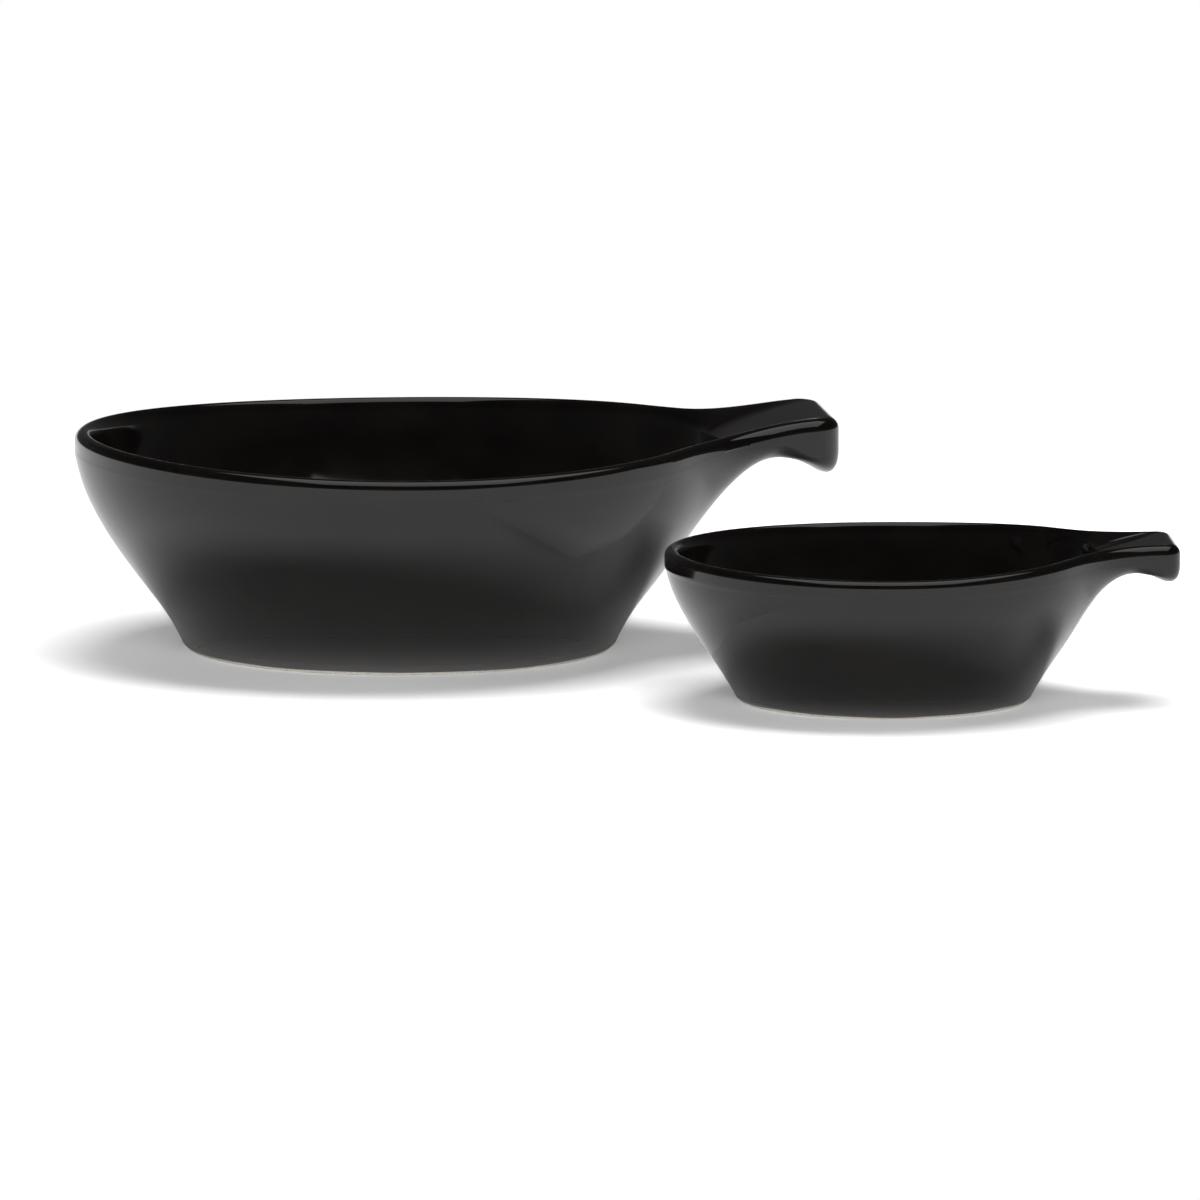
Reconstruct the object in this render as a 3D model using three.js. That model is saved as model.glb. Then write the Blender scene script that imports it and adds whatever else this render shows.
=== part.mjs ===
// A set of two handled tapas dishes in black glazed stoneware.
// Each dish is one casting: a round bowl on a foot ring, with a broad handle that grows out of its rim.
import * as THREE from "three";

// Driving dimensions, in millimetres and degrees.
// A dish stands on z = 0 with the axis of its bowl on z and its handle towards +x.
const largeSizes = {
  rimRadius: 90, // outside of the lip
  rimHeight: 57.8, // crest of the lip at the two sides
  sheer: 3.1, // how much higher the rim is at the handle
  backSheer: 2.7, // and opposite it
  wall: 4.8, // thickness
  lipWidth: 6.6, // thickness of the rounded lip
  lipCrest: 3.8, // from its outside to its crest
  lipDepth: 3.5, // height of its rounding
  footRadius: 59.5, // outside of the foot ring on the table
  footWidth: 7.5, // of the foot ring
  footRound: 1.2, // soft outer corner of the foot
  recessDepth: 2.2, // hollow inside the foot ring
  waistRadius: 64.5, // crease where the foot meets the wall
  waistHeight: 9.6,
  flareAngle: 38.5, // lean of the wall from upright just above the waist
  flareReach: 25.6, // how far that lean carries up the wall
  rimLean: 9, // lean of the wall from upright under the lip
  rimReach: 14,
  joinHeight: 23.8, // where the handle's underside starts to leave the wall
  heelHeight: 21.6, // on the outside, where the inside starts to turn into the floor
  floorRadius: 44, // flat floor inside the bowl
  floorHeight: 8.2,
  handleReach: 30.8, // beyond the lip
  handleWidth: 51, // at its end
  rootAngle: 34.5, // either side of the handle's middle, where its flanks leave the rim
  webAngle: 13, // and where its underside has its full shape
  cornerRadius: 8.7, // at the end, seen from above
  handleRise: 3.6, // end of the handle above the rim
  gripHeight: 57.2, // foot of the handle's upright flanks
  flankInset: 5.2, // rounding below the flanks, inwards
  noseInset: 8.3, // length of the down-turned end
  noseHeight: 50, // where the underside turns into the down-turned end
  noseDip: 58, // further slope of the underside there
  noseDepth: 5.4, // height of the rounding below the upright end
  edgeInset: 3.6, // rounding of the handle's top edge, inwards
  edgeDepth: 3.2, // and downwards
  trough: 0.5, // hollow along the top of the handle
};
const smallSizes = {
  rimRadius: 59.5,
  rimHeight: 40.3,
  sheer: 2.7,
  backSheer: 0.9,
  wall: 4.2,
  lipWidth: 5.4,
  lipCrest: 3.1,
  lipDepth: 3,
  footRadius: 39.5,
  footWidth: 6,
  footRound: 1,
  recessDepth: 1.8,
  waistRadius: 43.2,
  waistHeight: 6.3,
  flareAngle: 33.5,
  flareReach: 16.4,
  rimLean: 9,
  rimReach: 9.5,
  joinHeight: 20.2,
  heelHeight: 15,
  floorRadius: 28,
  floorHeight: 6.9,
  handleReach: 20.2,
  handleWidth: 32,
  rootAngle: 36,
  webAngle: 16,
  cornerRadius: 4.8,
  handleRise: 0.4,
  gripHeight: 38,
  flankInset: 4.7,
  noseInset: 8,
  noseHeight: 34.4,
  noseDip: 50,
  noseDepth: 3.4,
  edgeInset: 2.9,
  edgeDepth: 2.6,
  trough: 1.1,
};

// How the two dishes stand beside each other.
const largeTurn = 6.5; // of the handle, anticlockwise seen from above
const smallTurn = 3;
const smallOffset = new THREE.Vector2(132.7, -99.7); // from the axis of the large bowl to the small one

// Counts that set how fine the skin is.
const rimSteps = 24; // each counted over half of a dish
const flankSteps = 10;
const cornerSteps = 4;
const endSteps = 2;
const footSteps = 2; // the rest are counted along one section of the skin
const wallSteps = 4;
const gripSteps = 5;
const noseSteps = 5;
const edgeSteps = 3;
const topSteps = 6;
const innerSteps = 3;
const heelSteps = 5;

// Shape factors that hold for any size.
const roundArc = 0.5523; // handle length of a cubic curve that follows a quarter circle
const lipSpan = 2; // the wall runs up to this many lip heights below the crest
const lipBand = 0.3; // upright band under the rounding of the lip, in lip heights
const topPull = 0.35; // how far the top runs level from its edge
const flankPull = 0.4; // how far the flanks follow the rim, and then the handle
const recessSlope = 0.2; // lean of the inner side of the foot ring
const nearlyNothing = 1e-6; // where a search along a curve stops

const ease = THREE.MathUtils.smoothstep;
const lerp = THREE.MathUtils.lerp;
const inRadians = THREE.MathUtils.degToRad;

function bezier(start, startHandle, endHandle, end) {
  return new THREE.CubicBezierCurve3(start, startHandle, endHandle, end);
}

// Points along a curve after its first one, which the curve before it already holds.
function pointsAfterStart(curve, steps) {
  return curve.getPoints(steps).slice(1);
}

// Half of an outline seen from above, from the middle of the handle's end round to the far side of the bowl.
// It is the dish's own outline, or one that lies inside it by the insets at the end, the flanks and the rim.
function halfOutline(size, inset, cornerRadius) {
  const rimRadius = size.rimRadius - inset.rim;
  const tip = size.rimRadius + size.handleReach - inset.end;
  const halfWidth = size.handleWidth / 2 - inset.flank;
  const corner = new THREE.Vector2(tip - cornerRadius, halfWidth - cornerRadius);
  const rootAngle = inRadians(size.rootAngle);
  const root = new THREE.Vector2(Math.cos(rootAngle), Math.sin(rootAngle));
  const stations = [];
  for (let i = 0; i < endSteps; i++) {
    const point = new THREE.Vector2(tip, (corner.y * i) / endSteps);
    stations.push({ point, normal: new THREE.Vector2(1, 0) });
  }
  for (let i = 0; i < cornerSteps; i++) {
    const turn = (Math.PI / 2) * (i / cornerSteps);
    const normal = new THREE.Vector2(Math.cos(turn), Math.sin(turn));
    stations.push({ point: corner.clone().addScaledVector(normal, cornerRadius), normal });
  }
  const flankStart = new THREE.Vector2(corner.x, halfWidth);
  const flankEnd = root.clone().multiplyScalar(rimRadius);
  const pull = flankPull * flankStart.distanceTo(flankEnd);
  const flank = new THREE.CubicBezierCurve(
    flankStart,
    new THREE.Vector2(flankStart.x - pull, flankStart.y),
    new THREE.Vector2(flankEnd.x + pull * root.y, flankEnd.y - pull * root.x),
    flankEnd,
  );
  for (let i = 0; i < flankSteps; i++) {
    const along = flank.getTangent(i / flankSteps);
    stations.push({ point: flank.getPoint(i / flankSteps), normal: new THREE.Vector2(along.y, -along.x) });
  }
  for (let i = 0; i <= rimSteps; i++) {
    const angle = lerp(rootAngle, Math.PI, i / rimSteps);
    const normal = new THREE.Vector2(Math.cos(angle), Math.sin(angle));
    stations.push({ point: normal.clone().multiplyScalar(rimRadius), normal });
  }
  return stations;
}

// The closed outline, anticlockwise: the half and its mirror image. Each station has its point, the direction
// square to the outline, the point below it where the underside ends, and that point's angle round the bowl.
function wholeOutline(size) {
  const outer = halfOutline(size, { end: 0, flank: 0, rim: 0 }, size.cornerRadius);
  const setback = size.lipDepth * Math.tan(inRadians(size.rimLean));
  const insets = { end: size.noseInset, flank: size.flankInset, rim: setback };
  const under = halfOutline(size, insets, size.cornerRadius);
  const half = outer.map(({ point, normal }, i) => ({
    point,
    normal,
    under: under[i].point,
    angle: Math.atan2(under[i].point.y, under[i].point.x),
  }));
  const mirror = ({ x, y }) => new THREE.Vector2(x, -y);
  const mirrored = half.slice(1, -1).reverse().map((station) => ({
    point: mirror(station.point),
    normal: mirror(station.normal),
    under: mirror(station.under),
    angle: -station.angle,
  }));
  return [...half, ...mirrored];
}

// The bowl's outer wall from the waist to the lip, as radius and height.
function wallCurve(size) {
  const flare = inRadians(size.flareAngle);
  const lean = inRadians(size.rimLean);
  const waist = new THREE.Vector2(size.waistRadius, size.waistHeight);
  const lip = new THREE.Vector2(size.rimRadius, size.rimHeight - size.lipDepth);
  return new THREE.CubicBezierCurve(
    waist,
    new THREE.Vector2(Math.sin(flare), Math.cos(flare)).multiplyScalar(size.flareReach).add(waist),
    new THREE.Vector2(Math.sin(lean), Math.cos(lean)).multiplyScalar(-size.rimReach).add(lip),
    lip,
  );
}

// The parameter at which a curve that rises along one axis passes a value.
function parameterAt(curve, axis, value) {
  let low = 0;
  let high = 1;
  while (high - low > nearlyNothing) {
    const middle = (low + high) / 2;
    if (curve.getPoint(middle)[axis] < value) low = middle;
    else high = middle;
  }
  return high;
}

// The handle's underside, as radius and height: out of the wall in an arc, and then down to the turned end.
// An arc ends with as much slope beyond its chord as it started with before it.
function webCurve(size, wall, join) {
  const start = wall.getPoint(join);
  const reach = size.rimRadius + size.handleReach - size.noseInset;
  const end = new THREE.Vector2(Math.hypot(reach, size.handleWidth / 2 - size.flankInset), size.noseHeight);
  const chord = end.clone().sub(start);
  const slopeAtStart = wall.getTangent(join).angle();
  const slopeAtEnd = 2 * chord.angle() - slopeAtStart - inRadians(size.noseDip);
  const pull = chord.length() / (3 * Math.cos((slopeAtStart - slopeAtEnd) / 4) ** 2);
  const towards = (slope) => new THREE.Vector2(Math.cos(slope), Math.sin(slope)).multiplyScalar(pull);
  return new THREE.CubicBezierCurve(
    start,
    start.clone().add(towards(slopeAtStart)),
    end.clone().sub(towards(slopeAtEnd)),
    end,
  );
}

// Slope of the web at a parameter, which is below zero once it has passed its highest point.
function webSlope(web, parameter) {
  const { x, y } = web.getTangent(parameter);
  return Math.atan2(y, x);
}

// One section of the skin, from the middle of the underside round the foot, wall, lip and floor.
function section(size, station, wall, join, web) {
  const outwards = new THREE.Vector3(Math.cos(station.angle), Math.sin(station.angle), 0);
  const square = new THREE.Vector3(station.normal.x, station.normal.y, 0);
  const up = new THREE.Vector3(0, 0, 1);
  const onBowl = (radius, height) => outwards.clone().multiplyScalar(radius).setZ(height);
  const onOutline = (inset, height) =>
    new THREE.Vector3(station.point.x, station.point.y, height).addScaledVector(square, -inset);

  // How far this station is handle rather than rim, and how high its crest and top are.
  const grip = 1 - ease(Math.abs(station.angle), inRadians(size.webAngle), inRadians(size.rootAngle));
  const tip = size.rimRadius + size.handleReach;
  const projection = station.point.length() - size.rimRadius;
  const rise = ease(station.point.x, size.rimRadius - size.lipWidth, tip - size.edgeInset);
  const sheer = outwards.x > 0 ? size.sheer : size.backSheer;
  const crest = size.rimHeight + sheer * outwards.x ** 2;
  const top = crest + size.handleRise * rise * ease(projection, 0, size.edgeInset);

  // Underside and foot.
  const footInside = size.footRadius - size.footWidth;
  const slope = recessSlope * size.recessDepth;
  const points = [
    onBowl(footInside / 2, size.recessDepth),
    onBowl(footInside - slope, size.recessDepth),
    onBowl(footInside, 0),
    onBowl(size.footRadius - size.footRound, 0),
  ];
  const footSide = (share) =>
    onBowl(lerp(size.footRadius, size.waistRadius, share), size.waistHeight * share);
  const footCorner = bezier(
    points[points.length - 1],
    onBowl(size.footRadius - size.footRound * (1 - roundArc), 0),
    footSide((size.footRound * (1 - roundArc)) / size.waistHeight),
    footSide(size.footRound / size.waistHeight),
  );
  points.push(...pointsAfterStart(footCorner, footSteps));

  // Wall up to the join, and from there on up to the lip or out along the web of the handle.
  for (let i = 0; i <= wallSteps; i++) {
    const { x, y } = wall.getPoint((join * i) / wallSteps);
    points.push(onBowl(x, y));
  }
  const wallEnd = parameterAt(wall, "y", crest - lipSpan * size.lipDepth);
  const webEnd = parameterAt(web, "x", station.under.length());
  for (let i = 1; i <= gripSteps; i++) {
    const onWall = wall.getPoint(lerp(join, wallEnd, i / gripSteps));
    const { x, y } = onWall.lerp(web.getPoint((webEnd * i) / gripSteps), grip);
    points.push(onBowl(x, y));
  }

  // Round the lower edge, up the outer face and over the upper edge.
  const lowerEdge = points[points.length - 1];
  const slopeThere = lerp(wall.getTangent(wallEnd).angle(), webSlope(web, webEnd), grip);
  const ahead = square
    .clone()
    .multiplyScalar(Math.cos(slopeThere))
    .addScaledVector(up, Math.sin(slopeThere) * square.dot(outwards))
    .normalize();
  const end = ease(station.point.x, tip - size.noseInset - size.cornerRadius, tip);
  const gripFoot = lerp(size.gripHeight, size.noseHeight + size.noseDepth, end);
  const faceFoot = onOutline(0, lerp(crest - (1 + lipBand) * size.lipDepth, gripFoot, grip));
  const drop = faceFoot.distanceTo(lowerEdge) * roundArc;
  const nose = bezier(
    lowerEdge,
    lowerEdge.clone().addScaledVector(ahead, drop),
    faceFoot.clone().addScaledVector(up, -drop),
    faceFoot,
  );
  const faceHead = onOutline(0, top - lerp(size.lipDepth, size.edgeDepth, grip));
  const edgeInset = lerp(size.lipCrest, size.edgeInset, grip);
  const topEdge = onOutline(edgeInset, top);
  const edge = bezier(
    faceHead,
    faceHead.clone().addScaledVector(up, roundArc * (top - faceHead.z)),
    topEdge.clone().addScaledVector(square, roundArc * edgeInset),
    topEdge,
  );
  points.push(...pointsAfterStart(nose, noseSteps), faceHead, ...pointsAfterStart(edge, edgeSteps));

  // Back along the top and over the inner side of the lip.
  const innerLip = onBowl(size.rimRadius - size.lipWidth, crest - size.lipDepth);
  const topRun = innerLip.clone().sub(topEdge).setZ(0);
  const hollow = (size.trough * Math.max(projection, 0)) / size.handleReach;
  const lipPull = roundArc * size.lipDepth * (1 + grip / 2);
  const alongWall = up.clone().addScaledVector(outwards, Math.tan(inRadians(size.rimLean)));
  const topSide = bezier(
    topEdge,
    topEdge.clone().addScaledVector(topRun, lerp(roundArc, topPull, grip)),
    innerLip.clone().addScaledVector(alongWall, lipPull),
    innerLip,
  );
  pointsAfterStart(topSide, topSteps).forEach((point, i) => {
    const along = (i + 1) / topSteps;
    point.z -= hollow * 4 * along * (1 - along);
    points.push(point);
  });

  // Inside of the bowl, at the wall's thickness down to the heel and round it to the flat floor.
  const heelAt = parameterAt(wall, "y", size.heelHeight);
  const onInside = (parameter) => {
    const { x, y } = wall.getPoint(parameter);
    const tangent = wall.getTangent(parameter);
    return onBowl(x - size.wall * tangent.y, y + size.wall * tangent.x);
  };
  for (let i = 1; i <= innerSteps; i++) points.push(onInside(lerp(1, heelAt, i / innerSteps)));
  const heelStart = points[points.length - 1];
  const heelTangent = wall.getTangent(heelAt);
  const heelDrop = heelStart.z - size.floorHeight;
  const heelInset = (heelDrop * heelTangent.x) / heelTangent.y;
  const heelCorner = heelStart.clone().addScaledVector(outwards, -heelInset).setZ(size.floorHeight);
  const floorEdge = onBowl(size.floorRadius, size.floorHeight);
  const heel = bezier(
    heelStart,
    heelStart.clone().lerp(heelCorner, roundArc),
    floorEdge.clone().lerp(heelCorner, roundArc),
    floorEdge,
  );
  points.push(...pointsAfterStart(heel, heelSteps), onBowl(size.floorRadius / 2, size.floorHeight));
  return points;
}

// Joins the sections into one closed skin, with a point on the axis below and above.
function dishGeometry(size) {
  const wall = wallCurve(size);
  const join = parameterAt(wall, "y", size.joinHeight);
  const web = webCurve(size, wall, join);
  const sections = wholeOutline(size).map((station) => section(size, station, wall, join, web));
  const count = sections.length;
  const rings = sections[0].length;
  const vertices = [];
  const at = (ring, index) => ring * count + (index % count);
  const gap = (ring, index, nextRing, nextIndex) =>
    sections[index % count][ring].distanceTo(sections[nextIndex % count][nextRing]);
  for (let ring = 0; ring < rings; ring++) {
    for (const points of sections) vertices.push(...points[ring].toArray());
  }
  const below = vertices.length / 3;
  const above = below + 1;
  vertices.push(0, 0, size.recessDepth, 0, 0, size.floorHeight);
  const triangles = [];
  for (let i = 0; i < count; i++) {
    triangles.push(below, at(0, i + 1), at(0, i));
    for (let ring = 0; ring < rings - 1; ring++) {
      const [a, b, c, d] = [at(ring, i), at(ring, i + 1), at(ring + 1, i + 1), at(ring + 1, i)];
      const splitsFromFirst = gap(ring, i, ring + 1, i + 1) < gap(ring, i + 1, ring + 1, i);
      triangles.push(...(splitsFromFirst ? [a, b, c, a, c, d] : [a, b, d, b, c, d]));
    }
    triangles.push(above, at(rings - 1, i), at(rings - 1, i + 1));
  }
  const geometry = new THREE.BufferGeometry();
  geometry.setAttribute("position", new THREE.Float32BufferAttribute(vertices, 3));
  geometry.setIndex(triangles);
  geometry.computeVertexNormals();
  return geometry;
}

function dish(name, size, turn) {
  const blackGlaze = new THREE.MeshStandardMaterial({ color: 0x0b0b0c, roughness: 0.12, metalness: 0 });
  const mesh = new THREE.Mesh(dishGeometry(size), blackGlaze);
  mesh.name = name;
  mesh.rotation.z = inRadians(turn);
  return mesh;
}

const largeDish = dish("large_dish", largeSizes, largeTurn);
const smallDish = dish("small_dish", smallSizes, smallTurn);
smallDish.position.set(smallOffset.x, smallOffset.y, 0);

// The set's origin is on the table, under the middle of the box round both dishes.
const group = new THREE.Group();
group.add(largeDish, smallDish);
group.updateMatrixWorld(true);
const middle = new THREE.Box3().setFromObject(group, true).getCenter(new THREE.Vector3());
for (const mesh of [largeDish, smallDish]) {
  mesh.position.x -= middle.x;
  mesh.position.y -= middle.y;
}

export default group;
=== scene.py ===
# Two handled tapas dishes in black glazed stoneware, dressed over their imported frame.
import math

import bpy
import numpy as np
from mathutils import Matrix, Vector


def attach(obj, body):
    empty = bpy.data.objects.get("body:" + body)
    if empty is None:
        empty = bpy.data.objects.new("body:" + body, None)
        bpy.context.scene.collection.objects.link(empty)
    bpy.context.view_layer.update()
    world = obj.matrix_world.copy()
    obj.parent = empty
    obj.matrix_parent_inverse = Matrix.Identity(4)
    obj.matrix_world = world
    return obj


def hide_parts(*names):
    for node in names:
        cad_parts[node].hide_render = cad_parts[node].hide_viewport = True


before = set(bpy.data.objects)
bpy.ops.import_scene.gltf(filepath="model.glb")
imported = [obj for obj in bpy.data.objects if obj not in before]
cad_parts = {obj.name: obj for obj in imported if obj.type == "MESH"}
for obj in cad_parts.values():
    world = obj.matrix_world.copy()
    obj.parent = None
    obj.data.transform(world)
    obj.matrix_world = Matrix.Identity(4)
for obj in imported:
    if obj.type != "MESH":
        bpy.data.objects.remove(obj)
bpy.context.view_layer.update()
print("frame loaded:", sorted(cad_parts))

mm = 0.001

# Sizes in millimetres and degrees. They are the CAD's own, apart from those that the photo showed finer once
# the CAD was packed: the lip's width and rounding, the handle's flanks, its hollow and its root in the bowl.
largeDish = {
    "axis": (-61.43, 34.561),  # of the bowl, on the table
    "turn": 6.5,  # of the handle, anticlockwise seen from above
    "rimRadius": 90, "rimHeight": 57.8, "sheer": 3.1, "backSheer": 2.7, "wall": 4.8,  # sheer: the rim's rise
    "lipWidth": 5.2, "lipCrest": 2.7, "lipDepth": 3.5, "lipRound": 2.4,
    "footRadius": 59.5, "footWidth": 7.5, "recessDepth": 2.2, "waistRadius": 64.5, "waistHeight": 9.6,
    "flareAngle": 38.5, "flareReach": 25.6, "rimLean": 9, "rimReach": 14,
    "joinHeight": 23.8, "heelHeight": 21.6, "floorRadius": 44, "floorHeight": 8.2,
    "handleReach": 30.8, "handleWidth": 51, "rootAngle": 34.5, "webAngle": 13, "cornerRadius": 8.7,
    "handleRise": 3.6, "gripHeight": 58.3, "flankInset": 9.5,
    "noseInset": 8.3, "noseHeight": 50, "noseDip": 58, "noseDepth": 5.4,
    "edgeInset": 3.6, "edgeDepth": 3.2, "trough": 0.5, "rootDrop": 5,
    # Bare clay above the table, the height over which the glaze turns satin and its painted sheen fades out,
    # and the cast wall's slow swells.
    "bareHeight": 0.9, "satinAndSheenFade": 4.5, "glazeThickness": 0.35, "waistFillet": 4.5, "ripple": 0.1, "phase": 0.4,
}
smallDish = {
    "axis": (71.27, -65.139),
    "turn": 3,
    "rimRadius": 59.5, "rimHeight": 40.3, "sheer": 2.7, "backSheer": 0.9, "wall": 4.2,
    "lipWidth": 4.4, "lipCrest": 2.3, "lipDepth": 3, "lipRound": 2,
    "footRadius": 39.5, "footWidth": 6, "recessDepth": 1.8, "waistRadius": 43.2, "waistHeight": 6.3,
    "flareAngle": 33.5, "flareReach": 16.4, "rimLean": 9, "rimReach": 9.5,
    "joinHeight": 20.2, "heelHeight": 15, "floorRadius": 28, "floorHeight": 6.9,
    "handleReach": 20.2, "handleWidth": 32, "rootAngle": 36, "webAngle": 16, "cornerRadius": 4.8,
    "handleRise": 0.4, "gripHeight": 38.4, "flankInset": 6.6,
    "noseInset": 8, "noseHeight": 34.4, "noseDip": 50, "noseDepth": 3.4,
    "edgeInset": 2.9, "edgeDepth": 2.6, "trough": 0.8, "rootDrop": 3.4,
    "bareHeight": 0.8, "satinAndSheenFade": 2.2, "glazeThickness": 0.35, "waistFillet": 2.8, "ripple": 0.08, "phase": 2.1,
}
fineness = {
    "end": 8, "corner": 12, "flank": 36, "rim": 96,  # around half of a dish
    "foot": 6, "footSide": 3, "wall": 20, "grip": 24, "nose": 18, "edge": 12,  # up the outside
    "top": 24, "inner": 20, "heel": 24,  # and down the inside
    "disc": (0.3, 0.6, 0.85),  # rings across the recess and the floor, as shares of the radius
}
rounding = {  # what both dishes share
    "recessEdge": 1.5, "innerFoot": 0.8,  # mm
    "recessSlope": 0.2,  # of the recess's depth
    "outerFoot": 0.7,  # of the bare clay's height
    "filletPull": 0.8,  # of the waist's fillet
    "flankPull": 0.4,  # of the straight way from the handle's corner to its root
    "wallEnd": 2, "faceFoot": 1.3,  # lip depths below the rim
    "flankNose": (0.45, 0.22),  # of a full round, below and beside the handle's flanks
    "rootReach": 0.8,  # of the lip's width, that the handle's top runs on into the bowl
    "handleTop": 0.35,  # of the way along the handle's top
    "lipFade": 0.45,  # of the inner wall, over which the lip's width is eased out
    "swellFrom": 0.3, "swellTo": 0.6,  # of the outer wall, between which the swells are full
}
glazeEdge = {  # where the glaze stops above the foot, in mm
    "wander": 0.22,  # of its line round the dish
    "bulge": 0.12, "sag": 0.1,  # of the rolled edge
    "height": 1.4, "taper": 0.8, "fade": 0.05,  # of the roll up to the even coat
}
roundArc = 0.5523  # handle length of a cubic curve that follows a quarter circle


# Curves are four control points. A parameter may be one number, or one for each station.
def ease(value, low, high):
    t = np.clip((value - low) / (high - low), 0, 1)
    return t * t * (3 - 2 * t)


def mix(a, b, share):
    return a + (b - a) * share


def onCurve(curve, t):
    t = np.asarray(t, float)[..., None]
    a, b, c, d = curve
    return (1 - t) ** 3 * a + 3 * t * (1 - t) ** 2 * b + 3 * t * t * (1 - t) * c + t**3 * d


def alongCurve(curve, t):
    t = np.asarray(t, float)[..., None]
    a, b, c, d = curve
    way = (1 - t) ** 2 * (b - a) + 2 * t * (1 - t) * (c - b) + t * t * (d - c)
    return way / np.linalg.norm(way, axis=-1, keepdims=True)


def whereCurve(curve, axis, value):
    low, high = np.zeros(np.shape(value)), np.ones(np.shape(value))
    for _ in range(40):
        middle = (low + high) / 2
        below = onCurve(curve, middle)[..., axis] < value
        low, high = np.where(below, middle, low), np.where(below, high, middle)
    return high


def steps(count):
    return [i / count for i in range(1, count + 1)]


# The outline seen from above, from the middle of the handle's end round to the far side of the bowl.
def halfOutline(size, endInset, flankInset, rimInset):
    rim = size["rimRadius"] - rimInset
    tip = size["rimRadius"] + size["handleReach"] - endInset
    halfWidth = size["handleWidth"] / 2 - flankInset
    corner = np.array([tip - size["cornerRadius"], halfWidth - size["cornerRadius"]])
    rootAngle = math.radians(size["rootAngle"])
    root = np.array([math.cos(rootAngle), math.sin(rootAngle)])
    points, normals = [], []
    for i in range(fineness["end"]):
        points.append(np.array([tip, corner[1] * i / fineness["end"]]))
        normals.append(np.array([1.0, 0.0]))
    for i in range(fineness["corner"]):
        turn = math.pi / 2 * i / fineness["corner"]
        normals.append(np.array([math.cos(turn), math.sin(turn)]))
        points.append(corner + size["cornerRadius"] * normals[-1])
    start, end = np.array([corner[0], halfWidth]), root * rim
    pull = rounding["flankPull"] * np.linalg.norm(end - start)
    flank = [start, start - [pull, 0], end + pull * np.array([root[1], -root[0]]), end]
    for i in range(fineness["flank"]):
        along = alongCurve(flank, i / fineness["flank"])
        points.append(onCurve(flank, i / fineness["flank"]))
        normals.append(np.array([along[1], -along[0]]))
    for i in range(fineness["rim"] + 1):
        angle = mix(rootAngle, math.pi, i / fineness["rim"])
        normals.append(np.array([math.cos(angle), math.sin(angle)]))
        points.append(rim * normals[-1])
    return np.array(points), np.array(normals)


def wholeOutline(half):
    return np.concatenate([half, half[-2:0:-1] * [1, -1]])


# Slow uneven swells of a surface that was cast, sponged and dipped by hand, from -1 to 1.
def swell(angle, along, phase):
    waves = np.sin(3 * angle + phase + 2 * along) + 0.7 * np.sin(5 * angle - 2 * phase + 5 * along)
    return (waves + 0.5 * np.sin(11 * angle + 3 * phase - 3 * along)) / 2.2


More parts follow.
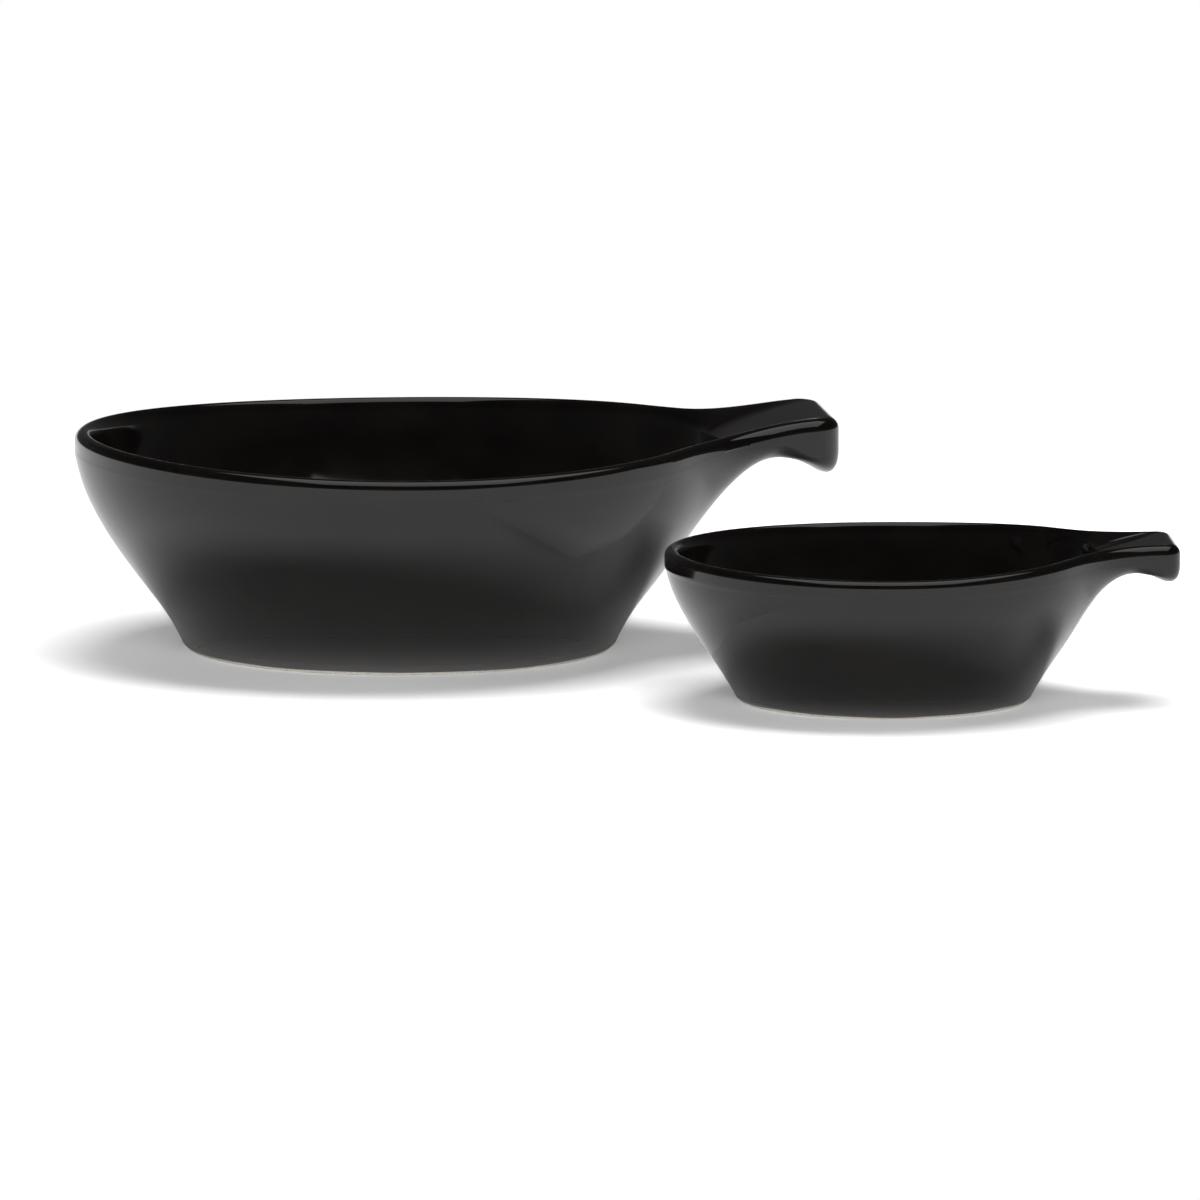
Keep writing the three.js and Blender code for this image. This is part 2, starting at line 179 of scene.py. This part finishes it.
# The skin of a dish as rings of points, from under the bowl round foot, wall, lip and inside to the floor.
def dishRings(size):
    point, normal = halfOutline(size, 0, 0, 0)
    setback = size["lipDepth"] * math.tan(math.radians(size["rimLean"]))
    under, _ = halfOutline(size, size["noseInset"], size["flankInset"], setback)
    point, normal, under = wholeOutline(point), wholeOutline(normal), wholeOutline(under)
    angle = np.arctan2(under[:, 1], under[:, 0])
    reach = np.hypot(under[:, 0], under[:, 1])
    outwards = np.stack([np.cos(angle), np.sin(angle), 0 * angle], 1)
    square = np.concatenate([normal, 0 * normal[:, :1]], 1)
    up = np.array([0.0, 0.0, 1.0])

    def onBowl(radius, height):
        ring = outwards * np.broadcast_to(radius, angle.shape)[:, None]
        ring[:, 2] = height
        return ring

    def onOutline(inset, height):
        ring = np.concatenate([point, np.zeros((len(point), 1))], 1) - square * np.reshape(inset, (-1, 1))
        ring[:, 2] = height
        return ring

    # The bowl's outer wall, and the handle's underside that leaves it in an arc.
    flare, lean = math.radians(size["flareAngle"]), math.radians(size["rimLean"])
    waist = np.array([size["waistRadius"], size["waistHeight"]])
    lip = np.array([size["rimRadius"], size["rimHeight"] - size["lipDepth"]])
    lipWay = np.array([math.sin(lean), math.cos(lean)])
    wall = [waist, waist + size["flareReach"] * np.array([math.sin(flare), math.cos(flare)]),
            lip - size["rimReach"] * lipWay, lip]
    join = whereCurve(wall, 1, size["joinHeight"])
    webStart, startWay = onCurve(wall, join), alongCurve(wall, join)
    tip = size["rimRadius"] + size["handleReach"]
    webStop = np.array([math.hypot(tip - size["noseInset"], size["handleWidth"] / 2 - size["flankInset"]),
                        size["noseHeight"]])
    chord = webStop - webStart
    startSlope = math.atan2(startWay[1], startWay[0])
    stopSlope = 2 * math.atan2(chord[1], chord[0]) - startSlope - math.radians(size["noseDip"])
    pull = np.linalg.norm(chord) / (3 * math.cos((startSlope - stopSlope) / 4) ** 2)
    web = [webStart, webStart + pull * startWay,
           webStop - pull * np.array([math.cos(stopSlope), math.sin(stopSlope)]), webStop]

    # How far each station is handle rather than rim, and the heights of its crest and top.
    grip = 1 - ease(np.abs(angle), math.radians(size["webAngle"]), math.radians(size["rootAngle"]))
    projection = np.hypot(point[:, 0], point[:, 1]) - size["rimRadius"]
    rise = ease(point[:, 0], size["rimRadius"] - size["lipWidth"], tip - size["edgeInset"])
    sheer = np.where(np.cos(angle) > 0, size["sheer"], size["backSheer"])
    crest = size["rimHeight"] + sheer * np.cos(angle) ** 2
    top = crest + size["handleRise"] * rise * ease(projection, 0, size["edgeInset"])
    wide = grip[:, None]

    # Recess under the bowl and the bare clay of the foot ring.
    rings, clay = [], []
    insideFoot = size["footRadius"] - size["footWidth"]
    slope = rounding["recessSlope"] * size["recessDepth"]
    recess, bare = size["recessDepth"], size["bareHeight"]
    side = (size["waistRadius"] - size["footRadius"]) / size["waistHeight"]
    for share in fineness["disc"]:
        rings.append(onBowl(insideFoot * share, recess))
    innerFoot = [onBowl(insideFoot - slope - rounding["recessEdge"], recess),
                 onBowl(insideFoot - slope, recess), onBowl(insideFoot - slope, recess),
                 onBowl(insideFoot - slope / 2, recess / 2)]
    innerEdge = [onBowl(insideFoot - slope / 2, recess / 2), onBowl(insideFoot, 0),
                 onBowl(insideFoot, 0), onBowl(insideFoot + rounding["innerFoot"], 0)]
    rings.append(innerFoot[0])
    rings += [onCurve(innerFoot, t) for t in steps(fineness["foot"])]
    clay.append(len(rings) + 1)
    rings += [onCurve(innerEdge, t) for t in steps(fineness["foot"])]
    wander = glazeEdge["wander"] * swell(angle, 0, size["phase"] + 1)
    thin = size["glazeThickness"]
    claySide = size["footRadius"] - thin
    soft = rounding["outerFoot"] * bare
    outerEdge = [onBowl(claySide - soft, 0), onBowl(claySide - (1 - roundArc) * soft, 0),
                 onBowl(claySide + side * (1 - roundArc) * soft, (1 - roundArc) * soft),
                 onBowl(claySide + side * soft, soft)]
    rings.append(onBowl((insideFoot + claySide) / 2, 0))
    rings.append(outerEdge[0])
    rings += [onCurve(outerEdge, t) for t in steps(fineness["foot"])]
    glazeLine = bare + wander
    rings.append(onBowl(claySide + side * glazeLine, glazeLine))
    clay.append(len(rings))

    # The glaze starts in a soft roll, then follows the foot up to the rounded crease of the waist.
    def footSide(height, past=0):
        return onBowl(size["footRadius"] + side * height + past, height)

    rollTop = glazeLine + glazeEdge["height"]
    rollFoot = size["footRadius"] + side * glazeLine + glazeEdge["bulge"]
    roll = [rings[-1], onBowl(rollFoot, glazeLine - glazeEdge["sag"]),
            footSide(rollTop - glazeEdge["taper"], glazeEdge["fade"]), footSide(rollTop)]
    rings += [onCurve(roll, t) for t in steps(fineness["foot"])]
    filletStart = size["waistHeight"] - size["waistFillet"]
    for share in steps(fineness["footSide"]):
        rings.append(footSide(mix(rollTop, filletStart, share)))
    begin = whereCurve(wall, 1, size["waistHeight"] + size["waistFillet"])
    wallStart, wallWay = onCurve(wall, begin), alongCurve(wall, begin)
    pulled = wallStart - wallWay * size["waistFillet"] * rounding["filletPull"]
    fillet = [footSide(filletStart), footSide(size["waistHeight"] - size["waistFillet"] / 3),
              onBowl(*pulled), onBowl(*wallStart)]
    rings += [onCurve(fillet, t) for t in steps(fineness["foot"])]

    # Wall up to the join, and from there up to the lip or out along the handle's underside.
    wallFrom = len(rings)
    for share in steps(fineness["wall"]):
        rings.append(onBowl(*onCurve(wall, mix(begin, join, share))))
    wallEnd = whereCurve(wall, 1, crest - rounding["wallEnd"] * size["lipDepth"])
    webEnd = whereCurve(web, 0, reach)
    for share in steps(fineness["grip"]):
        onWall, onWeb = onCurve(wall, mix(join, wallEnd, share)), onCurve(web, webEnd * share)
        rings.append(onBowl(*mix(onWall, onWeb, wide).T))

    # Round the lower edge, up the outer face and over the upper edge.
    lowerEdge = rings[-1]
    wallSlope, webSlope = alongCurve(wall, wallEnd), alongCurve(web, webEnd)
    slopeThere = mix(np.arctan2(wallSlope[:, 1], wallSlope[:, 0]),
                     np.arctan2(webSlope[:, 1], webSlope[:, 0]), grip)
    ahead = square * np.cos(slopeThere)[:, None]
    ahead[:, 2] = np.sin(slopeThere) * (square * outwards).sum(1)
    ahead /= np.linalg.norm(ahead, axis=1, keepdims=True)
    end = ease(point[:, 0], tip - size["noseInset"] - size["cornerRadius"], tip)
    gripFoot = mix(size["gripHeight"], size["noseHeight"] + size["noseDepth"], end)
    faceFoot = onOutline(0, mix(crest - rounding["faceFoot"] * size["lipDepth"], gripFoot, grip))
    drop = np.linalg.norm(faceFoot - lowerEdge, axis=1, keepdims=True) * roundArc
    flat = grip * (1 - end)
    below, beside = [mix(1, share, flat)[:, None] for share in rounding["flankNose"]]
    nose = [lowerEdge, lowerEdge + ahead * drop * below, faceFoot - up * drop * beside, faceFoot]
    rings += [onCurve(nose, t) for t in steps(fineness["nose"])]
    faceHead = onOutline(0, top - mix(size["lipRound"], size["edgeDepth"], grip))
    edgeInset = mix(size["lipCrest"], size["edgeInset"], grip)[:, None]
    topEdge = onOutline(edgeInset, top)
    height = (top - faceHead[:, 2])[:, None]
    edge = [faceHead, faceHead + up * roundArc * height, topEdge + square * roundArc * edgeInset, topEdge]
    rings += [mix(faceFoot, faceHead, 0.5), faceHead]
    rings += [onCurve(edge, t) for t in steps(fineness["edge"])]

    # Back along the top and over the inner side of the lip.
    lipInside = size["rimRadius"] - size["lipWidth"] * (1 - rounding["rootReach"] * grip)
    lipDrop = mix(size["lipDepth"], size["rootDrop"], grip)
    innerLip = onBowl(lipInside, crest - lipDrop)
    topRun = (innerLip - topEdge) * [1, 1, 0]
    hollow = size["trough"] * np.maximum(projection, 0) / size["handleReach"]
    lipBack = outwards * math.tan(lean) + up
    topSide = [topEdge, topEdge + topRun * mix(roundArc, rounding["handleTop"], wide),
               innerLip + lipBack * roundArc * lipDrop[:, None], innerLip]
    for t in steps(fineness["top"]):
        ring = onCurve(topSide, t)
        ring[:, 2] -= hollow * 4 * t * (1 - t)
        rings.append(ring)

    # Inside, at the wall's thickness down to the heel and round it to the floor.
    heelAt = whereCurve(wall, 1, size["heelHeight"])

    def onInside(t, thickness):
        (x, y), (alongX, alongY) = onCurve(wall, t), alongCurve(wall, t)
        return x - thickness * alongY, y + thickness * alongX

    # The lip's width and the rim's sheer are eased out on the way down.
    innerTop = onInside(1, size["lipWidth"])
    outer, higher = lipInside - innerTop[0], crest - lipDrop - innerTop[1]
    for share in steps(fineness["inner"]):
        eased = ease(share, 0, rounding["lipFade"])
        radius, level = onInside(mix(1, heelAt, share), mix(size["lipWidth"], size["wall"], eased))
        rings.append(onBowl(radius + mix(outer, 0, eased), level + mix(higher, 0, eased)))
    radius, level = onInside(heelAt, size["wall"])
    alongX, alongY = alongCurve(wall, heelAt)
    heelInset = (level - size["floorHeight"]) * alongX / alongY
    heelCorner = onBowl(radius - heelInset, size["floorHeight"])
    floorEdge = onBowl(size["floorRadius"], size["floorHeight"])
    heelStart = rings[-1]
    heel = [heelStart, mix(heelStart, heelCorner, roundArc), mix(floorEdge, heelCorner, roundArc), floorEdge]
    rings += [onCurve(heel, t) for t in steps(fineness["heel"])]
    for share in fineness["disc"][::-1]:
        rings.append(onBowl(size["floorRadius"] * share, size["floorHeight"]))

    # Slight swells in and out of the wall, faded out at foot, handle and lip.
    rings = np.array(rings)
    count = fineness["wall"] + fineness["grip"]
    for i in range(count):
        share = i / count
        fade = ease(share, 0, rounding["swellFrom"]) * (1 - ease(share, rounding["swellTo"], 1)) * (1 - grip)
        push = size["ripple"] * fade * swell(angle, share, size["phase"])
        rings[wallFrom + i] += outwards * push[:, None]
    return rings, clay


def dishObject(name, size):
    rings, (clayFrom, clayTo) = dishRings(size)
    ringCount, count = rings.shape[:2]
    points = [*rings.reshape(-1, 3), [0, 0, size["recessDepth"]], [0, 0, size["floorHeight"]]]
    turn = math.radians(size["turn"])
    spin = np.array([[math.cos(turn), math.sin(turn), 0], [-math.sin(turn), math.cos(turn), 0], [0, 0, 1]])
    places = (np.array(points) @ spin + [*size["axis"], 0]) * mm
    faces, isClay = [], []
    below, above = len(points) - 2, len(points) - 1
    for i in range(count):
        j = (i + 1) % count
        faces.append((below, j, i))
        for ring in range(ringCount - 1):
            a, b = ring * count, (ring + 1) * count
            faces.append((a + i, a + j, b + j, b + i))
        faces.append((above, (ringCount - 1) * count + i, (ringCount - 1) * count + j))
        isClay += [0] + [int(clayFrom <= ring + 1 < clayTo) for ring in range(ringCount - 1)] + [0]
    mesh = bpy.data.meshes.new(name)
    mesh.from_pydata(places.tolist(), [], faces)
    mesh.materials.append(blackGlaze)
    mesh.materials.append(bareStoneware)
    mesh.polygons.foreach_set("material_index", isClay)
    mesh.polygons.foreach_set("use_smooth", [True] * len(faces))
    # Painted sheen towards the foot: this mask is full at the table and fades up the wall.
    thin = mesh.attributes.new("satinAndPaintedSheen", "FLOAT", "POINT")
    level = np.array(points)[:, 2]
    thin.data.foreach_set("value", np.exp(-level / size["satinAndSheenFade"]) * (level > 0))
    mesh.update()
    dish = bpy.data.objects.new(name, mesh)
    bpy.context.scene.collection.objects.link(dish)
    return dish


# Materials.
def linear(code):
    parts = [int(code[i:i + 2], 16) / 255 for i in (1, 3, 5)]
    return (*[c / 12.92 if c <= 0.04045 else ((c + 0.055) / 1.055) ** 2.4 for c in parts], 1)


# An input goes by its name or its place. The stops of a ramp are its places with their colours.
def addNode(material, kind, settings=None, links=None):
    node = material.node_tree.nodes.new(kind)
    for name, value in (settings or {}).items():
        if name == "stops":
            ends = node.color_ramp.elements
            for i, (place, colour) in enumerate(value):
                end = ends[i] if i < len(ends) else ends.new(place)
                end.position, end.color = place, linear(colour)
        elif isinstance(name, int) or name in node.inputs:
            node.inputs[name].default_value = value
        else:
            setattr(node, name, value)
    for name, source in (links or {}).items():
        material.node_tree.links.new(source, node.inputs[name])
    return node


def newMaterial(name):
    material = bpy.data.materials.new(name)
    material.use_nodes = True
    material.node_tree.nodes.clear()
    return material


# Glossy black glaze, dipped and fired: a glass skin, so nearly all that it shows is what it mirrors. Towards
# the foot it turns satin, and grey is painted into it there: a painted sheen, lighter towards the base.
glaze = {
    "colour": "#0b0908",  # iron and manganese black
    "bloom": "#100d0b",  # slightly lighter patches
    "thin": "#757372",  # painted sheen towards the foot, lighter towards the base
    "ior": 1.52,
    "roughness": (0.07, 0.12),  # calm and slightly duller patches
    "satin": 0.45,  # roughness where it is thin
    "patch": 14,  # mm between duller patches
    "dulling": (0.35, 0.65), "blooming": (0.4, 0.6),  # levels of the patches' noise, calm and full
    "peel": 2.4,  # mm between the low bumps that the melt leaves
    "peelHeight": 0.0016,  # mm
}


def makeBlackGlaze():
    material = newMaterial("black_stoneware_glaze")
    place = addNode(material, "ShaderNodeTexCoord").outputs["Object"]
    patches = addNode(material, "ShaderNodeTexNoise", {"Scale": 1 / (glaze["patch"] * mm), "Detail": 2},
                      {"Vector": place})
    # Painted sheen: this mask turns the glaze satin and mixes grey into it towards the foot.
    thin = addNode(material, "ShaderNodeAttribute", {"attribute_name": "satinAndPaintedSheen"}).outputs["Fac"]
    ends = dict(zip(("From Min", "From Max", "To Min", "To Max"), glaze["dulling"] + glaze["roughness"]))
    dull = addNode(material, "ShaderNodeMapRange", ends, {"Value": patches.outputs["Fac"]})
    rough = addNode(material, "ShaderNodeMapRange", {"To Max": glaze["satin"]},
                    {"Value": thin, "To Min": dull.outputs["Result"]})
    tints = [*zip(glaze["blooming"], (glaze["colour"], glaze["bloom"]))]
    black = addNode(material, "ShaderNodeValToRGB", {"stops": tints}, {"Fac": patches.outputs["Fac"]})
    colour = addNode(material, "ShaderNodeMixRGB", {"Color2": linear(glaze["thin"])},
                     {"Fac": thin, "Color1": black.outputs["Color"]}).outputs["Color"]
    peel = addNode(material, "ShaderNodeTexNoise", {"Scale": 1 / (glaze["peel"] * mm), "Detail": 1},
                   {"Vector": place})
    bumps = addNode(material, "ShaderNodeBump", {"Strength": 1, "Distance": glaze["peelHeight"] * mm},
                    {"Height": peel.outputs["Fac"]})
    shader = addNode(material, "ShaderNodeBsdfPrincipled", {"IOR": glaze["ior"]}, {
        "Base Color": colour, "Roughness": rough.outputs["Result"], "Normal": bumps.outputs["Normal"]})
    addNode(material, "ShaderNodeOutputMaterial", None, {"Surface": shader.outputs["BSDF"]})
    return material


# Fired stoneware body, wiped clean of glaze before firing: pale, dry and slightly gritty.
clay = {
    "colour": "#f7f4ee",
    "grog": "#e0dbd0",  # ground fired clay in the body
    "grit": 0.5, "gritHeight": 0.04,  # mm
    "speckle": (0.35, 0.55),  # levels of the grit's noise, all grog and none
    "ior": 1.5,
    "roughness": 0.85,
}


def makeBareStoneware():
    material = newMaterial("bare_stoneware_clay")
    place = addNode(material, "ShaderNodeTexCoord").outputs["Object"]
    grit = addNode(material, "ShaderNodeTexNoise", {"Scale": 1 / (clay["grit"] * mm), "Detail": 4},
                   {"Vector": place})
    tints = [*zip(clay["speckle"], (clay["grog"], clay["colour"]))]
    tint = addNode(material, "ShaderNodeValToRGB", {"stops": tints}, {"Fac": grit.outputs["Fac"]})
    bumps = addNode(material, "ShaderNodeBump", {"Strength": 1, "Distance": clay["gritHeight"] * mm},
                    {"Height": grit.outputs["Fac"]})
    dry = {"IOR": clay["ior"], "Roughness": clay["roughness"]}
    shader = addNode(material, "ShaderNodeBsdfPrincipled", dry,
                     {"Base Color": tint.outputs["Color"], "Normal": bumps.outputs["Normal"]})
    addNode(material, "ShaderNodeOutputMaterial", None, {"Surface": shader.outputs["BSDF"]})
    return material


blackGlaze = makeBlackGlaze()
bareStoneware = makeBareStoneware()
for node, size in (("large_dish", largeDish), ("small_dish", smallDish)):
    dish = dishObject(node.replace("dish", "glazed_dish"), size)
    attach(dish, node)
    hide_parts(node)
    print("made", dish.name, len(dish.data.vertices), "points")

# Studio: a white table in a dim room, a softbox overhead that the glaze mirrors, and the lamps that light.
# Places and spans in metres; strengths are those of the lamps' own faces, where 1 looks white.
table = {
    "colour": "#f7f7f7", "half": 8,
    "seenTo": 0.25, "whiteFrom": 0.6,  # distances up to which it is seen as it is, and from which it is plain
    "exposure": 1.5,  # the ground is exposed beyond white, so that only its deeper shadows are seen
    "veil": 0.12,  # share of plain white over it
}
lamps = {
    "softbox": {"place": (0.2, 0.05, 2.4), "aim": (0.2, 0.05, 0), "span": (2.4, 2.8), "strength": 1.15},
    "key": {"place": (0.3, 0.58, 2.8), "aim": (0, 0, 0), "span": (2, 1.25), "strength": 8.6},
}
fills = {"left": (-3, 0, 1.1), "right": (3, 0, 1.1), "front": (0, -3, 4.6), "back": (0, 3, 1.6)}
for side, (x, y, strength) in fills.items():
    lamps["fill_" + side] = {"place": (x, y, 1.2), "aim": (0, 0, 0), "span": (2.4, 1.6), "strength": strength}
room = {0.01: "#ffffff", 0.035: "#4b4b4b", 0.45: "#282828"}  # from the horizon up, by the sine of the height


# The table turns plain white away from the dishes, for the camera and for what mirrors it.
def makeTable():
    material = newMaterial("white_table")
    rays = addNode(material, "ShaderNodeLightPath").outputs
    camera, glossy = rays["Is Camera Ray"], rays["Is Glossy Ray"]
    plain = linear(table["colour"])
    over = [value * table["exposure"] for value in plain[:3]] + [1]
    exposed = addNode(material, "ShaderNodeMixRGB", {"Color1": plain, "Color2": over}, {"Fac": camera})
    paper = addNode(material, "ShaderNodeBsdfDiffuse", None, {"Color": exposed.outputs["Color"]})
    place = addNode(material, "ShaderNodeTexCoord").outputs["Object"]
    reach = addNode(material, "ShaderNodeVectorMath", {"operation": "LENGTH"}, {"Vector": place})
    away = addNode(material, "ShaderNodeMapRange", {
        "interpolation_type": "SMOOTHSTEP", "From Min": table["seenTo"], "From Max": table["whiteFrom"]},
        {"Value": reach.outputs["Value"]})
    seen = addNode(material, "ShaderNodeMath", {"operation": "MAXIMUM"}, {0: camera, 1: glossy})
    fading = addNode(material, "ShaderNodeMath", {"operation": "MULTIPLY"},
                     {0: away.outputs["Result"], 1: seen.outputs["Value"]})
    veiled = addNode(material, "ShaderNodeMath", {"operation": "MULTIPLY", 1: table["veil"]}, {0: camera})
    share = addNode(material, "ShaderNodeMath", {"operation": "MAXIMUM"},
                    {0: fading.outputs["Value"], 1: veiled.outputs["Value"]})
    white = addNode(material, "ShaderNodeEmission", {"Strength": 1})
    surface = addNode(material, "ShaderNodeMixShader", None, {
        0: share.outputs["Value"], 1: paper.outputs["BSDF"], 2: white.outputs["Emission"]})
    addNode(material, "ShaderNodeOutputMaterial", None, {"Surface": surface.outputs["Shader"]})
    mesh = bpy.data.meshes.new("table")
    half = table["half"]
    corners = [(-half, -half, 0), (half, -half, 0), (half, half, 0), (-half, half, 0)]
    mesh.from_pydata(corners, [], [(0, 1, 2, 3)])
    mesh.materials.append(material)
    ground = bpy.data.objects.new("table", mesh)
    bpy.context.scene.collection.objects.link(ground)


def addLamp(name, lamp):
    light = bpy.data.lights.new(name, "AREA")
    light.shape = "RECTANGLE"
    light.size, light.size_y = lamp["span"]
    light.energy = lamp["strength"] * math.pi * light.size * light.size_y
    holder = bpy.data.objects.new(name, light)
    holder.location = lamp["place"]
    holder.rotation_euler = (Vector(lamp["aim"]) - holder.location).to_track_quat("-Z", "Y").to_euler()
    holder.visible_glossy = name == "softbox"
    holder.visible_diffuse = not holder.visible_glossy
    bpy.context.scene.collection.objects.link(holder)


# The room is dim above the horizon; below it, and to the camera, it is as white as the table.
def makeRoom():
    world = bpy.data.worlds.new("room")
    world.use_nodes = True
    world.node_tree.nodes.clear()
    way = addNode(world, "ShaderNodeTexCoord").outputs["Generated"]
    height = addNode(world, "ShaderNodeSeparateXYZ", None, {"Vector": way}).outputs["Z"]
    fade = addNode(world, "ShaderNodeValToRGB", {"stops": [*room.items()]}, {"Fac": height})
    camera = addNode(world, "ShaderNodeLightPath").outputs["Is Camera Ray"]
    seen = addNode(world, "ShaderNodeMath", {"operation": "MAXIMUM"}, {0: camera, 1: fade.outputs["Color"]})
    glow = addNode(world, "ShaderNodeBackground", {"Color": (1, 1, 1, 1)},
                   {"Strength": seen.outputs["Value"]})
    addNode(world, "ShaderNodeOutputWorld", None, {"Surface": glow.outputs["Background"]})
    bpy.context.scene.world = world


# Glowing white cards between the dishes, a painted reflection: in the glaze of each they stand where the
# other dish would be mirrored. Only mirrored rays meet them, and only on the side of the dish that they
# serve.
# Each starts at the table with the table's own shade painted into its glow there, so that its foot doesn't
# show.
cardShade = {
    "gap": (5, 40),  # mm from the dish's rim, where the table is still shaded and where it no longer is
    "foot": (0.6, 0.95),  # painted shades of the card's glow at those gaps
    "rise": 15, "top": 0.96,  # mm up to the card's even white, and that white
}
cardLine = [(7, -130), (1, -95), (14, -25), (39, -3), (72, 2), (109, -5), (169, -25)]
cards = {
    "card_for_large_dish": (largeDish, 62, cardLine),
    "card_for_small_dish": (smallDish, 34, [(x + 2, y - 2) for x, y in cardLine[::-1]]),
}


def makeCard(name, dish, height, bends, material):
    mesh = bpy.data.meshes.new(name)
    count = len(bends)
    points = [(x * mm, y * mm, z * mm) for z in (0, height) for x, y in bends]
    mesh.from_pydata(points, [], [(i + 1, i, count + i, count + i + 1) for i in range(count - 1)])
    mesh.materials.append(material)
    gaps = [math.dist(bend, dish["axis"]) - dish["rimRadius"] for bend in bends]
    shade = mesh.attributes.new("tableShade", "FLOAT", "POINT")
    shades = [mix(*cardShade["foot"], ease(gap, *cardShade["gap"])) for gap in gaps]
    shade.data.foreach_set("value", shades * 2)
    sheet = bpy.data.objects.new(name, mesh)
    sheet.visible_camera = sheet.visible_diffuse = sheet.visible_shadow = sheet.visible_transmission = False
    bpy.context.scene.collection.objects.link(sheet)


def makeCardGlow():
    material = newMaterial("card_glow_painted_reflection")
    facing = addNode(material, "ShaderNodeNewGeometry").outputs["Backfacing"]
    place = addNode(material, "ShaderNodeTexCoord").outputs["Object"]
    height = addNode(material, "ShaderNodeSeparateXYZ", None, {"Vector": place}).outputs["Z"]
    shade = addNode(material, "ShaderNodeAttribute", {"attribute_name": "tableShade"}).outputs["Fac"]
    ends = {"From Max": cardShade["rise"] * mm, "To Max": cardShade["top"]}
    fade = addNode(material, "ShaderNodeMapRange", ends, {"Value": height, "To Min": shade})
    # Painted reflection: the card glows, darker at its foot with the table's painted shade, white above.
    white = addNode(material, "ShaderNodeEmission", None, {"Strength": fade.outputs["Result"]})
    clear = addNode(material, "ShaderNodeBsdfTransparent")
    surface = addNode(material, "ShaderNodeMixShader", None, {
        0: facing, 1: white.outputs["Emission"], 2: clear.outputs["BSDF"]})
    addNode(material, "ShaderNodeOutputMaterial", None, {"Surface": surface.outputs["Shader"]})
    return material


makeTable()
cardGlow = makeCardGlow()
for name, (dish, height, bends) in cards.items():
    makeCard(name, dish, height, bends, cardGlow)
makeRoom()
for name, lamp in lamps.items():
    addLamp(name, lamp)
print("studio set up")

# Camera: a long lens from the front, tipped down a little. Millimetres and degrees, the focal length and
# the frame in pixels of the photo.
view = {"place": (-5.677, -4165.439, 622.7), "tip": 8.267, "focal": 15267, "frame": 1200, "film": 36}
camera = bpy.data.objects.new("camera", bpy.data.cameras.new("camera"))
camera.location = [value * mm for value in view["place"]]
camera.rotation_euler = (math.radians(90 - view["tip"]), 0, 0)
camera.data.sensor_fit = "HORIZONTAL"
camera.data.sensor_width = view["film"]
camera.data.lens = view["film"] * view["focal"] / view["frame"]
camera.data.clip_end = 50
bpy.context.scene.collection.objects.link(camera)
bpy.context.scene.camera = camera
bpy.context.scene.view_settings.view_transform = "Standard"
